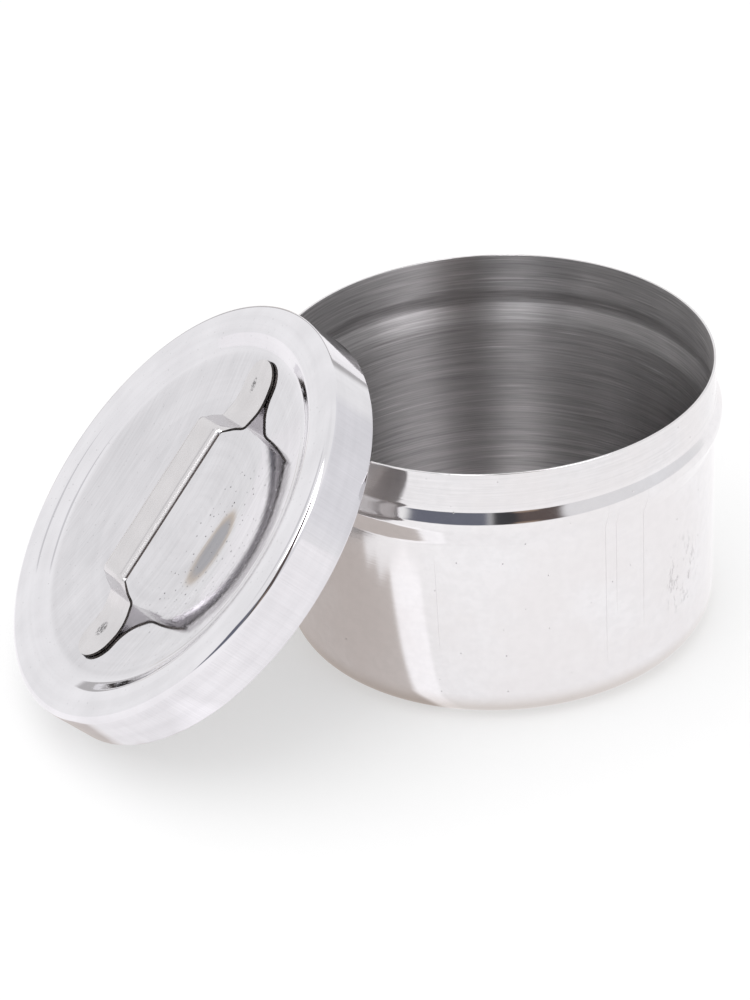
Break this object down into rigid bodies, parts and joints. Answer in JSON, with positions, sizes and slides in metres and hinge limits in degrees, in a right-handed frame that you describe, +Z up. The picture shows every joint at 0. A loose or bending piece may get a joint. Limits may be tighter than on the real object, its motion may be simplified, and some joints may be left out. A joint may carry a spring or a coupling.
{
  "type": "cotton jar",
  "caption": "Small round stainless cotton jar with an outward bead, its pressed lid with a recessed strap handle leaning against it.",
  "frame": {"origin": "middle of the jar's flat bottom, on the table", "axes": "+Z up along the jar's axis; the lid leans on the jar's rim on the -X side; the picture's camera looks along +Y"},
  "size_m": [0.163, 0.1242, 0.0799],
  "materials": {
    "jar_steel": "mirror polished outside, fine circumferential satin inside",
    "lid_steel": "mirror polished, fine polishing lines and small pits",
    "handle_steel": "satin polished strap"
  },
  "bodies": {
    "root": {"jar": "jar_steel", "lid": "lid_steel", "handle": "handle_steel"}
  },
  "joints": []
}
